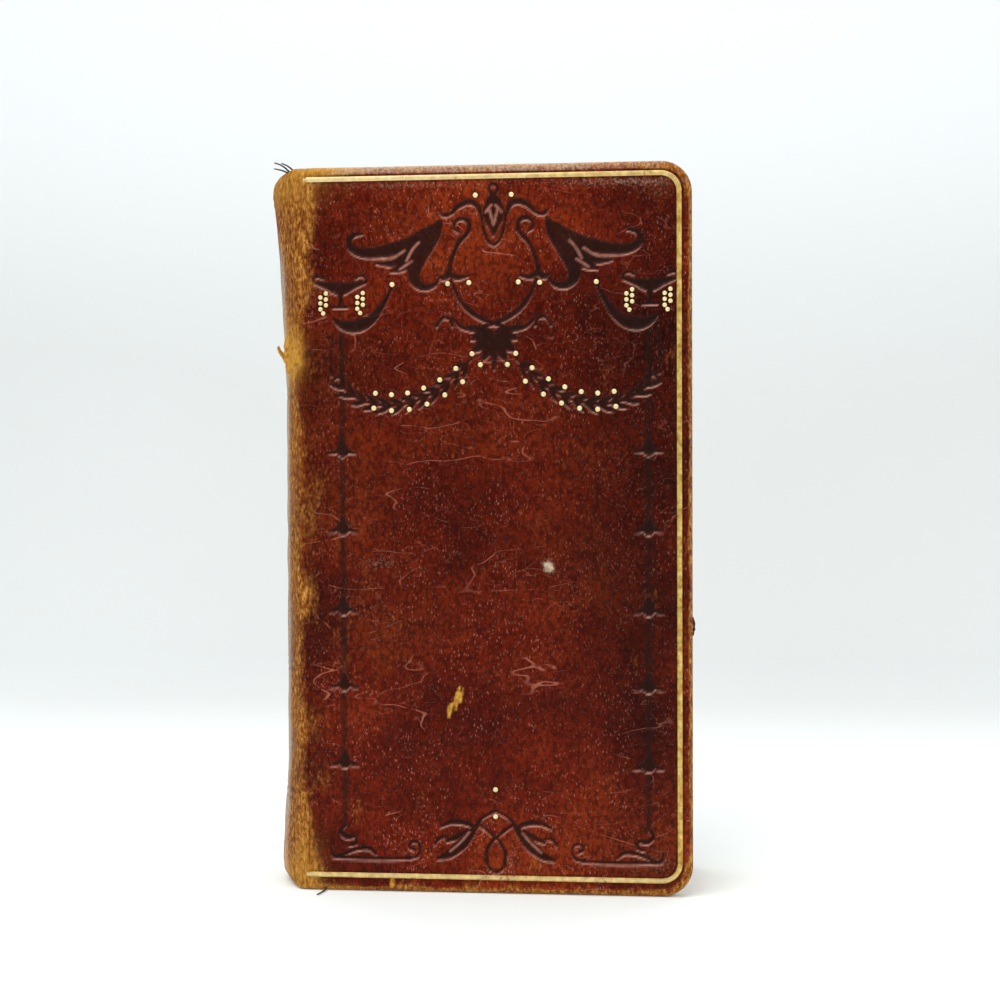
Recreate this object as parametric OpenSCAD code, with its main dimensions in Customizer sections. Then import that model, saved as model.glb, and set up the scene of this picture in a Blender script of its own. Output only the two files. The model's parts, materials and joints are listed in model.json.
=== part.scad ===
// Leather-bound pocket prayer book, standing upright on its tail edge.
// +Z runs from tail to head, the spine is at -X, and the front cover faces -Y.
// The origin is under the middle of the book, on the surface that it stands on.

/* [Binding] */
// Height of the covers
book_h = 130; // [110:1:150]
// Width of a cover, from the joint to the fore-edge
cover_w = 70; // [60:1:80]
// Thickness over both covers
book_t = 26; // [22:0.5:32]
// Radius of the covers' fore-edge corners
cover_corner_r = 5.5; // [3:0.5:9]
// How far the covers overhang the leaves at head, tail and fore-edge
square = 2.8; // [2:0.1:4]

/* [Cover layers] */
// Thickness of the leather
leather_t = 0.7; // [0.5:0.05:1]
// Thickness of the board
board_t = 2; // [1.5:0.1:2.5]
// Thickness of the pastedown and of the leather turned in beside it
pastedown_t = 0.3; // [0.2:0.05:0.4]
// Width of leather turned in over the board
turn_in_w = 5; // [4:0.5:8]
// Radius of the padded outer edge of a cover
edge_r = 1.3; // [0.8:0.1:1.6]

/* [Gold tooling] */
// Width of the gold line
fillet_w = 0.9; // [0.5:0.1:1.2]
// Distance from a cover's fore-edge and head to the gold line
fillet_inset = 1.8; // [1.4:0.1:3]
// How much further the gold line lies from the tail
fillet_tail_extra = 0.7; // [0:0.1:2]
// Diameter of a gold dot
dot_d = 0.9; // [0.6:0.1:1.2]

/* [Spine] */
// How far the spine stands out behind the joints at mid-height
spine_sag = 4.9; // [4.5:0.1:5.5]
// How far the worn cap stands out at the head
head_sag = 7.3; // [6.5:0.1:9]
// How far the spine stands out at the tail
tail_sag = 6; // [5.5:0.1:7.5]
// Rounding of the spine leather's ends
cap_r = 3.2; // [2:0.1:3.5]
// Number of raised sewing tapes
tape_count = 3; // [2:1:4]

/* [Leaves] */
// Number of folded gatherings, half of which turn with each cover
gathering_count = 16; // [16:1:16]
// Radius of the leaves' fore-edge corners
leaf_corner_r = 4.5; // [3:0.5:7]
// Thickness of a flyleaf
flyleaf_t = 0.14; // [0.1:0.02:0.2]

/* [Hidden] */

$fn = 64;
hull_fn = 32;
eps = 0.01;

// Places along X
x_fore = (cover_w + head_sag) / 2;
x_joint = x_fore - cover_w;
joint_gap = 0.15;
board_gap = 0.5;

// Places through the thickness, as distances from the middle plane
gold_t = 0.05;
y_out = book_t / 2;
y_board = y_out - leather_t;
y_lining = y_board - board_t;
y_in = y_lining - pastedown_t;

// The block of leaves
block_h0 = square;
block_h1 = book_h - square;
flyleaf_clear = 0.03;
block_t = 2 * (y_in - flyleaf_t - 2 * flyleaf_clear);
pitch = block_t / gathering_count;
leaf_gap = 0.04;
fold_x = x_joint + 1.5;
fold_gap = 0.1;
hinge_skin_t = 0.2;
hinge_skin_w = 5;
hinge_taper_w = 8;
flyleaf_fold_x = x_joint + 0.9;

// Spine layers from the leather inwards: arcs around one upright axis
spine_leather_t = 0.8;
spine_clear = 2.5;
card_half_w = 10.6;
leather_r = (pow(y_out, 2) + pow(spine_sag, 2)) / (2 * spine_sag);
back_cx = x_joint - spine_sag + leather_r;
card_t = 0.6;
card_r = leather_r - spine_leather_t - 0.05 - card_t;
hollow_t = 0.35;
lining_t = 0.3;
lining_r = card_r - hollow_t - lining_t;
mull_t = 0.2;
mull_r = lining_r - mull_t;
tape_t = 0.35;
back_r = mull_r - tape_t - 0.1;
tape_w = 8;
kettle_z = 9;
thread_r = 0.16;
stitch_w = 0.5;
end_band_r = 0.6;
end_band_inset = 1.15;

// Cloth that ties the block to the boards
flap_w = 15;
flap_t = 0.15;

function gathering_name(i) = str("gathering_", i < 10 ? "0" : "", i);
function gathering_y(i) = (i - (gathering_count + 1) / 2) * pitch;
function fold_back_x(y) = back_cx - sqrt(pow(back_r, 2) - pow(y, 2));
function tape_z(i) = block_h0 + (block_h1 - block_h0) * (i + 0.5) / tape_count;

// ---------- Shared shapes ----------

// Draws a flat XZ outline as a plate between two depths
module upright(y0, y1) {
    translate([0, y1, 0]) rotate([90, 0, 0]) linear_extrude(y1 - y0) children();
}

// A rectangle in XZ whose two fore-edge corners are round
module page_outline(x0, x1, z0, z1, r) {
    translate([x0, z0]) square([x1 - x0 - r, z1 - z0]);
    translate([x0, z0 + r]) square([x1 - x0, z1 - z0 - 2 * r]);
    for (z = [z0 + r, z1 - r]) translate([x1 - r, z]) circle(r);
}

// The outline of a cover drawn in by an inset on its three free edges
module cover_outline(inset, x0) {
    page_outline(x0, x_fore - inset, inset, book_h - inset, cover_corner_r - inset);
}

// An upright curved plate around the back's axis, between two heights and out to a half width
module back_arc(r, t, z0, z1, half_w) {
    a = asin(half_w / (r + t / 2));
    translate([back_cx, 0, z0])
        rotate([0, 0, 180 - a])
            rotate_extrude(angle = 2 * a) translate([r, 0]) square([t, z1 - z0]);
}

// A round cord lying along the back's arc at a height
module back_cord(r, cord_r, z, y0, y1) {
    a0 = asin(y0 / r);
    a1 = asin(y1 / r);
    translate([back_cx, 0, z])
        rotate([0, 0, 180 - a1])
            rotate_extrude(angle = a1 - a0) translate([r, 0]) circle(cord_r, $fn = 24);
}

// ---------- Covers, drawn as the front one and mirrored for the back ----------

function round_inset(depth, r) = depth >= r ? 0 : r - sqrt(pow(r, 2) - pow(r - depth, 2));

// Solid shape of a cover: a padded outer edge and a small rounding inside
module cover_solid() {
    cover_t = y_out - y_in;
    middle = -y_out + cover_t / 2;
    inner_r = 0.4;
    hull() {
        for (k = [0:5]) {
            d = edge_r * (1 - cos(90 * k / 5));
            upright(-y_out + d, middle)
                cover_outline(round_inset(d, edge_r), x_joint + joint_gap, $fn = hull_fn);
        }
        for (k = [0:2]) {
            d = inner_r * (1 - cos(90 * k / 2));
            upright(middle, -y_in - d)
                cover_outline(round_inset(d, inner_r), x_joint + joint_gap, $fn = hull_fn);
        }
    }
}

module cover_leather() {
    difference() {
        cover_solid();
        cover_gold_fillet();
        upright(-y_board, -y_lining) cover_outline(leather_t, x_joint - 1);
        upright(-y_lining - eps, -y_in + 1) cover_outline(turn_in_w, x_joint - 1);
    }
}

module cover_board() {
    upright(-y_board, -y_lining) cover_outline(leather_t, x_joint + board_gap);
}

module cover_mull_flap() {
    upright(-y_lining, -y_lining + flap_t)
        translate([x_joint + board_gap, kettle_z]) square([flap_w, book_h - 2 * kettle_z]);
}

module cover_pastedown() {
    difference() {
        upright(-y_lining, -y_in) cover_outline(turn_in_w, x_joint + board_gap);
        upright(-y_lining - 1, -y_lining + flap_t)
            translate([x_joint, kettle_z]) square([flap_w + board_gap, book_h - 2 * kettle_z]);
    }
}

// A gold line along head, fore-edge and tail, pressed in flush with the leather
module cover_gold_fillet() {
    upright(-y_out, -y_out + gold_t) difference() {
        line_outline(fillet_inset, x_joint + 0.6);
        line_outline(fillet_inset + fillet_w, x_joint - 1);
    }
}

module line_outline(inset, x0) {
    page_outline(x0, x_fore - inset, inset + fillet_tail_extra, book_h - inset, cover_corner_r - inset);
}

// ---------- Gold dots of the front cover ----------

// Distance of each single dot from the cover's centre line, and its height
single_dots = [[3.2, 0.957], [4.4, 0.838], [8.2, 0.837], [18.2, 0.837]];
centre_dots = [0.107, 0.144];
// Berry sprigs hang at these distances from the centre line
sprig_x = [24, 30.7];
sprig_z = 0.807;
// Each garland is two sagging rows of dots
garland_count = 7;
garland_sag = 0.034;

function garland_dots(first_x, last_x, low_x, low_z) = [
    for (i = [0:garland_count - 1])
        let (x = first_x + (last_x - first_x) * i / (garland_count - 1))
            [x, low_z + garland_sag * pow(x - low_x, 2)]];

module dot(x, z, d = dot_d) {
    translate([x_joint + cover_w / 2 + x, -y_out - gold_t, z])
        rotate([-90, 0, 0]) cylinder(h = gold_t, d = d, $fn = 24);
}

module berry_sprig(x) {
    berry_d = 0.8;
    for (row = [0:2], side = [-1, 1])
        dot(x + side * 0.5, book_h * sprig_z + 1.05 * row + 0.35 * side, berry_d);
    dot(x, book_h * sprig_z - 1.1, berry_d);
}

// ---------- Spine leather: a curved shell whose sag changes along the height ----------

// Heights, as shares of the book's, above and below which the spine widens
flare_start = 0.7;
foot_start = 0.2;

function smooth(t) = let (c = min(1, max(0, t))) c * c * (3 - 2 * c);
function flare(t) = let (c = min(1, max(0, t))) c * (0.72 + 0.28 * pow(c, 3));
function sag_at(z) =
    spine_sag
    + (head_sag - spine_sag) * flare((z - flare_start * book_h) / (0.27 * book_h))
    + (tail_sag - spine_sag) * smooth((foot_start * book_h - z) / (0.17 * book_h))
    - round_inset(min(z, book_h - z), cap_r);

// Distance that an arc of half width w and sag s stands out at y
function arc_out(y, w, s) =
    let (r = (w * w + s * s) / (2 * s)) sqrt(r * r - y * y) - (r - s);

ring_z = concat(
    [for (k = [0:4]) cap_r * (1 - cos(90 * k / 4))],
    [for (k = [1:5]) cap_r + (foot_start * book_h - cap_r) * k / 5],
    [for (k = [0:7]) book_h * flare_start + (book_h * (1 - flare_start) - cap_r - 1) * k / 7],
    [for (k = [4:-1:0]) book_h - cap_r * (1 - cos(90 * k / 4))]);
ring_steps = 24;

// One closed ring of the shell: the outer arc from front to back, then the inner one returning
function spine_ring(z) =
    let (w0 = y_out, w1 = y_out - spine_leather_t, x = x_joint - joint_gap, s = sag_at(z) - joint_gap)
    concat(
        [for (k = [0:ring_steps])
            let (y = -w0 * cos(180 * k / ring_steps)) [x - arc_out(y, w0, s), y, z]],
        [for (k = [ring_steps:-1:0])
            let (y = -w1 * cos(180 * k / ring_steps))
                [x - arc_out(y, w1, s - spine_leather_t), y, z]]);

module spine_shell() {
    n = 2 * (ring_steps + 1);
    last = (len(ring_z) - 1) * n;
    walls = [for (j = [0:len(ring_z) - 2], i = [0:n - 1])
        let (a = j * n + i, b = j * n + (i + 1) % n)
        each [[a, a + n, b], [b, a + n, b + n]]];
    foot = [for (i = [0:ring_steps - 1]) each [[i, i + 1, n - 1 - i], [i + 1, n - 2 - i, n - 1 - i]]];
    crown = [for (f = foot) [last + f[2], last + f[1], last + f[0]]];
    polyhedron([for (z = ring_z) each spine_ring(z)], concat(walls, foot, crown), convexity = 4);
}

// ---------- Spine ----------

module spine_leather() {
    color("#7a3a1e") spine_shell();
}

module spine_card() {
    color("#b7a27c") back_arc(card_r, card_t, spine_clear, book_h - spine_clear, card_half_w);
}

module spine_lining() {
    color("#cdbf9c") back_arc(lining_r, lining_t, block_h0 + 1, block_h1 - 1, block_t / 2 - 0.4);
}

module mull() {
    color("#d8cfb8") back_arc(mull_r, mull_t, kettle_z, book_h - kettle_z, block_t / 2);
}

module sewing_tapes() {
    color("#e4dcc6") for (i = [0:tape_count - 1])
        back_arc(back_r, tape_t, tape_z(i) - tape_w / 2, tape_z(i) + tape_w / 2, block_t / 2 - 0.1);
}

// Kettle stitches at both ends, and a long stitch outside each tape's two edges
module sewing_thread() {
    levels = concat([kettle_z - 1.5, book_h - kettle_z + 1.5],
        [for (i = [0:tape_count - 1], side = [-1, 1]) tape_z(i) + side * (tape_w / 2 + stitch_w)]);
    color("#efe6cc") for (z = levels, i = [1:gathering_count - 1])
        back_cord(back_r + thread_r + 0.02, thread_r, z, gathering_y(i) + 0.15, gathering_y(i + 1) - 0.15);
}

// The sewn folds of the gatherings, glued up into the rounded back
module gathering_folds() {
    color("#e9dfc4") for (i = [1:gathering_count]) intersection() {
        translate([back_cx, 0, block_h0]) cylinder(h = block_h1 - block_h0, r = back_r, $fn = 128);
        translate([x_joint - 10, gathering_y(i) - (pitch - leaf_gap) / 2, 0])
            cube([fold_x - fold_gap - x_joint + 10, pitch - leaf_gap, book_h]);
    }
}

module end_band(z) {
    half_w = block_t / 2 - end_band_inset;
    back_cord(back_r - end_band_r, end_band_r, z, -half_w, half_w);
}

module head_band() {
    color("#a8402c") end_band(block_h1 + end_band_r);
}

module tail_band() {
    color("#a8402c") end_band(block_h0 - end_band_r);
}

// ---------- Front cover ----------

module front_board() {
    color("#a08a64") cover_board();
}

module front_leather() {
    color("#6b2413") cover_leather();
}

module front_pastedown() {
    color("#e8dfca") cover_pastedown();
}

module front_mull_flap() {
    color("#d8cfb8") cover_mull_flap();
}

module front_gold_fillet() {
    color("#d9b45c") cover_gold_fillet();
}

module front_gold_dots() {
    color("#e5c66e") {
        for (z = centre_dots) dot(0, book_h * z);
        for (side = [-1, 1]) {
            for (p = single_dots) dot(side * p[0], book_h * p[1]);
            for (p = garland_dots(3.9, 21.3, 18.4, book_h * 0.686)) dot(side * p[0], p[1]);
            for (p = garland_dots(2.4, 21.6, 17.8, book_h * 0.664)) dot(side * p[0], p[1]);
            for (x = sprig_x) berry_sprig(side * x);
        }
    }
}

// ---------- Back cover ----------

module back_board() {
    color("#a08a64") mirror([0, 1, 0]) cover_board();
}

module back_leather() {
    color("#6b2413") mirror([0, 1, 0]) cover_leather();
}

module back_pastedown() {
    color("#e8dfca") mirror([0, 1, 0]) cover_pastedown();
}

module back_mull_flap() {
    color("#d8cfb8") mirror([0, 1, 0]) cover_mull_flap();
}

module back_gold_fillet() {
    color("#d9b45c") mirror([0, 1, 0]) cover_gold_fillet();
}

// ---------- Leaves ----------

module flyleaf() {
    y = block_t / 2 + flyleaf_clear;
    upright(-y - flyleaf_t, -y)
        page_outline(flyleaf_fold_x + fold_gap, x_fore - square, block_h0, block_h1, leaf_corner_r);
}

module front_flyleaf() {
    color("#efe7d2") flyleaf();
}

module back_flyleaf() {
    color("#efe7d2") mirror([0, 1, 0]) flyleaf();
}

// A gathering in front of its fold: thin where it flexes, and full from the end of the taper.
// All gatherings are as wide, so that the fore-edge is as hollow as the back is round.
module gathering(i) {
    y = gathering_y(i);
    leaf_w = x_fore - square - fold_back_x(gathering_y(1));
    x1 = fold_back_x(y) + leaf_w;
    full = (pitch - leaf_gap) / 2;
    thin = hinge_skin_t / 2;
    half = [[fold_x + fold_gap, thin], [fold_x + hinge_skin_w, thin], [fold_x + hinge_taper_w, full], [x1, full]];
    near = [for (p = half) [p[0], y - p[1]]];
    far = [for (k = [len(half) - 1:-1:0]) [half[k][0], y + half[k][1]]];
    color("#f0e6cc") intersection() {
        linear_extrude(book_h) polygon(concat(near, far));
        upright(y - pitch, y + pitch) page_outline(fold_x, x1, block_h0, block_h1, leaf_corner_r);
    }
}

spine_leather();
spine_card();
spine_lining();
mull();
sewing_tapes();
sewing_thread();
gathering_folds();
head_band();
tail_band();
front_board();
front_leather();
front_pastedown();
front_mull_flap();
front_gold_fillet();
front_gold_dots();
back_board();
back_leather();
back_pastedown();
back_mull_flap();
back_gold_fillet();
front_flyleaf();
back_flyleaf();
for (i = [1:gathering_count])
    gathering(i);
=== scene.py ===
import json
import math

import bmesh
import bpy
import numpy as np
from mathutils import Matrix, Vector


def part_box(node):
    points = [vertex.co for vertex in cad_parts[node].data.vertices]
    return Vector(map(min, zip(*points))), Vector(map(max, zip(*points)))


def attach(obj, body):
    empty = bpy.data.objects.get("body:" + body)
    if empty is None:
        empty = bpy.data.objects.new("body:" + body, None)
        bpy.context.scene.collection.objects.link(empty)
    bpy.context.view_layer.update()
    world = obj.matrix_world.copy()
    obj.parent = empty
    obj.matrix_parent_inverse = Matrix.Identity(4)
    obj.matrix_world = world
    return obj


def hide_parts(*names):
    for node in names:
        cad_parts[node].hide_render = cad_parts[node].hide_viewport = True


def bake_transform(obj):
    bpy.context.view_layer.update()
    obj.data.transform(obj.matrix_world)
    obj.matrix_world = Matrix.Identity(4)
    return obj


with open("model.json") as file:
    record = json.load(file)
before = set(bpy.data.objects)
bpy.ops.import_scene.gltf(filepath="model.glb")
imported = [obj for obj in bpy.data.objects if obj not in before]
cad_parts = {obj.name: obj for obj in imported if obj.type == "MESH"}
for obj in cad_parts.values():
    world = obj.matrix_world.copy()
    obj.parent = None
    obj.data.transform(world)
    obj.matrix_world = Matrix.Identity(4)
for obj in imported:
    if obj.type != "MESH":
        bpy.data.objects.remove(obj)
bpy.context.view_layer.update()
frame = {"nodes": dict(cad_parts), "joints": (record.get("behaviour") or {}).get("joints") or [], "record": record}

# Lengths are in millimetres, in the frame of the CAD model, and become metres as a mesh is made.
# On a cover, u runs from the joint towards the fore-edge and v from the tail towards the head.
MM = 0.001


def box_mm(node):
    low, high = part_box(node)
    return np.array(low) / MM, np.array(high) / MM


joints = {joint["name"]: joint for joint in frame["joints"]}
cover_low, cover_high = box_mm("front_leather")
spine_low, _ = box_mm("spine_leather")

X_JOINT = joints["front_cover_hinge"]["pos_m"][0] / MM
X_FORE = cover_high[0]
BOOK_H = cover_high[2]
COVER_W = X_FORE - X_JOINT
Y_OUT = -cover_low[1]
Y_IN = -cover_high[1]
CORNER_R = 5.5
EDGE_R = 1.3
LEATHER_T = 0.7
TURN_IN_W = 5.0
FILLET_W = 0.9
FILLET_MID = 2.25
FILLET_TAIL_EXTRA = 0.7
# The height of the torn place beside the spine
TEAR_V = 96.4

# ---------- Small mathematics ----------


def smooth(t):
    t = np.clip(t, 0, 1)
    return t * t * (3 - 2 * t)


def rise(x, start, width):
    """From 0 at start to 1 at start + width."""
    return smooth((x - start) / width)


def fall(x, start, width):
    """From 1 at start to 0 at start + width."""
    return 1 - smooth((x - start) / width)


def bump_at(x, centre, width):
    return np.exp(-(((x - centre) / width) ** 2))


def round_inset(depth, radius):
    """How far a rounded edge lies back at a distance from its rim."""
    inset = np.maximum(radius - depth, 0)
    return radius - np.sqrt(np.maximum(radius ** 2 - inset ** 2, 0))


def waves(a, b, seed, size, count=9):
    """Soft irregular waves between about -1 and 1, whose bumps are about size across."""
    rng = np.random.default_rng(seed)
    total = np.zeros(np.broadcast(a, b).shape)
    for _ in range(count):
        turn = rng.uniform(0, 2 * math.pi)
        k = 2 * math.pi / size * rng.uniform(0.6, 1.5)
        total += np.sin(k * (a * math.cos(turn) + b * math.sin(turn)) + rng.uniform(0, 2 * math.pi))
    return total / math.sqrt(count)


# ---------- Meshes ----------


def add_piece(name, verts, faces, materials, smooth_faces=True, face_slots=None, **attributes):
    """A closed mesh object from points in millimetres, with its rest place stored for the textures."""
    verts = np.asarray(verts, float)
    mesh = bpy.data.meshes.new(name)
    mesh.from_pydata((verts * MM).tolist(), [], [[int(i) for i in face] for face in faces])
    shell = bmesh.new()
    shell.from_mesh(mesh)
    bmesh.ops.recalc_face_normals(shell, faces=shell.faces)
    shell.to_mesh(mesh)
    shell.free()
    for material in materials:
        mesh.materials.append(material)
    mesh.polygons.foreach_set("use_smooth", [smooth_faces] * len(mesh.polygons))
    if face_slots is not None:
        mesh.polygons.foreach_set("material_index", np.asarray(face_slots, np.int32))
    rest = mesh.attributes.new("rest", "FLOAT_VECTOR", "POINT")
    rest.data.foreach_set("vector", verts.astype(np.float32).ravel())
    for key, values in attributes.items():
        layer = mesh.attributes.new(key, "FLOAT", "POINT")
        layer.data.foreach_set("value", np.asarray(values, np.float32).ravel())
    mesh.update()
    piece = bpy.data.objects.new(name, mesh)
    bpy.context.scene.collection.objects.link(piece)
    return piece


def grid_quads(rows, cols, close_rows=False, close_cols=False):
    """Faces between the points of a grid, which may close on itself either way."""
    index = np.arange(rows * cols).reshape(rows, cols)
    if close_rows:
        index = np.vstack([index, index[:1]])
    if close_cols:
        index = np.hstack([index, index[:, :1]])
    corners = (index[:-1, :-1], index[:-1, 1:], index[1:, 1:], index[1:, :-1])
    return np.stack(corners, -1).reshape(-1, 4)


def mirrored(verts, faces):
    """The same shape on the back of the book."""
    return np.asarray(verts) * [1, -1, 1], [list(face)[::-1] for face in faces]


def tube_faces(rings, sides):
    """Faces of a closed tube made of rings of points."""
    first = np.arange(sides)
    return grid_quads(rings, sides, close_cols=True).tolist() + [first[::-1].tolist(),
                                                                 (first + (rings - 1) * sides).tolist()]


def tube(path, radii, sides):
    """A closed round tube along points, with a radius at each point."""
    path = np.asarray(path, float)
    radii = np.broadcast_to(radii, len(path))
    tangents = np.gradient(path, axis=0)
    tangents /= np.linalg.norm(tangents, axis=1, keepdims=True)
    guide = np.array([0.0, 0.0, 1.0]) if abs(tangents[0][2]) < 0.9 else np.array([1.0, 0.0, 0.0])
    verts = []
    for point, tangent, radius in zip(path, tangents, radii):
        side = np.cross(tangent, guide)
        side /= np.linalg.norm(side)
        guide = np.cross(side, tangent)
        for k in range(sides):
            angle = 2 * math.pi * k / sides
            verts.append(point + radius * (math.cos(angle) * side + math.sin(angle) * guide))
    return verts, tube_faces(len(path), sides)


# ---------- Materials ----------


def srgb(r, g, b):
    """A colour for a shader from its values between 0 and 255."""
    def linear(c):
        c /= 255
        return c / 12.92 if c <= 0.04045 else ((c + 0.055) / 1.055) ** 2.4
    return (linear(r), linear(g), linear(b), 1)


class Material:
    """A node material with short calls for the nodes that the book's surfaces need."""

    def __init__(self, name, coords="rest", **shader):
        self.material = bpy.data.materials.new(name)
        self.material.use_nodes = True
        self.tree = self.material.node_tree
        self.tree.nodes.clear()
        self.shader = self.tree.nodes.new("ShaderNodeBsdfPrincipled")
        out = self.tree.nodes.new("ShaderNodeOutputMaterial")
        self.feed(out.inputs[0], self.shader.outputs[0])
        for key, value in shader.items():
            self.shader.inputs[key.replace("_", " ")].default_value = value
        if coords == "rest":
            self.coords = self.attribute("rest", "Vector")
        else:
            self.coords = self.scaled(self.node("TexCoord", "Object", {}), (1 / MM, 1 / MM, 1 / MM))

    def feed(self, socket, value):
        if isinstance(value, bpy.types.NodeSocket):
            self.tree.links.new(value, socket)
        else:
            socket.default_value = srgb(*value) if socket.type == "RGBA" else value

    def node(self, kind, output, inputs, **settings):
        """The output of a new node with these inputs and settings."""
        node = self.tree.nodes.new("ShaderNode" + kind)
        for key, value in settings.items():
            setattr(node, key, value)
        for key, value in inputs.items():
            self.feed(node.inputs[key], value)
        return node.outputs[output]

    def attribute(self, name, output="Fac"):
        return self.node("Attribute", output, {}, attribute_name=name)

    def scaled(self, vector, factors):
        return self.node("VectorMath", 0, {0: vector, 1: factors}, operation="MULTIPLY")

    def axis(self, letter):
        return self.node("SeparateXYZ", letter, {0: self.coords})

    def stretched(self, size, stretch):
        return self.scaled(self.coords, [1 / (size * s) for s in stretch])

    def noise(self, size, detail=3, roughness=0.55, stretch=(1, 1, 1)):
        """Noise whose features are about size across."""
        return self.node("TexNoise", "Fac", {"Vector": self.stretched(size, stretch), "Scale": 1, "Detail": detail,
                                             "Roughness": roughness})

    def cells(self, size, feature, stretch, jitter=0):
        """Voronoi cells about size across, bent by noise where jitter is given."""
        vector = self.stretched(size, stretch)
        if jitter:
            wobble = self.node("TexNoise", "Color", {"Vector": vector, "Scale": 2.5})
            vector = self.node("VectorMath", 0, {0: vector, 1: self.scaled(wobble, (jitter, jitter, jitter))})
        return self.node("TexVoronoi", "Distance", {"Vector": vector, "Scale": 1}, feature=feature)

    def math(self, operation, a, b=0.0):
        return self.node("Math", 0, {0: a, 1: b}, operation=operation)

    def plus(self, a, b):
        return self.math("ADD", a, b)

    def minus(self, a, b):
        return self.math("SUBTRACT", a, b)

    def times(self, a, b):
        return self.math("MULTIPLY", a, b)

    def blend(self, share, a, b):
        """A share of one value and the rest of another."""
        return self.plus(self.times(a, share), self.times(b, round(1 - share, 6)))

    def fade(self, value, low, high, to_low=0.0, to_high=1.0):
        """Value moved smoothly from between low and high to between to_low and to_high."""
        inputs = {"Value": value, "From Min": low, "From Max": high, "To Min": to_low, "To Max": to_high}
        return self.node("MapRange", "Result", inputs, interpolation_type="SMOOTHSTEP")

    def ramp(self, value, stops):
        node = self.tree.nodes.new("ShaderNodeValToRGB")
        self.feed(node.inputs[0], value)
        elements = node.color_ramp.elements
        while len(elements) < len(stops):
            elements.new(0.5)
        for element, (place, colour) in zip(elements, stops):
            element.position = place
            element.color = srgb(*colour)
        return node.outputs["Color"]

    def mix(self, amount, a, b):
        return self.node("Mix", 2, {0: amount, 6: a, 7: b}, data_type="RGBA")

    def isoline(self, value, thin, wide):
        """A wandering line where a noise passes its middle value."""
        return self.fade(self.math("ABSOLUTE", self.minus(value, 0.5)), thin, wide, 1, 0)

    def brighten(self, colour, factor):
        return self.node("HueSaturation", 0, {"Color": colour, "Value": factor})

    def bump(self, height, depth, normal=None):
        """Bump of a height from 0 to 1 that stands for depth millimetres."""
        inputs = {"Distance": depth * MM, "Height": height}
        if normal:
            inputs["Normal"] = normal
        return self.node("Bump", "Normal", inputs)

    def finish(self, colour, roughness=None, normal=None, metallic=None):
        self.feed(self.shader.inputs["Base Color"], colour)
        for key, value in (("Roughness", roughness), ("Normal", normal), ("Metallic", metallic)):
            if value is not None:
                self.feed(self.shader.inputs[key], value)
        return self.material


# Colours of the marks in the leather, painted shade for the grain's hollows and painted highlights for glints, lips
# and sheen among them
HOLLOW_SHADE, GLINT, CRACK, PALE_RUB_AND_SHEEN = (38, 5, 0), (184, 110, 92), (184, 106, 86), (206, 184, 158)
OCHRE, TOOLED_DARK, LIT_LIP = (214, 158, 62), (34, 17, 12), (204, 144, 126)


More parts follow.
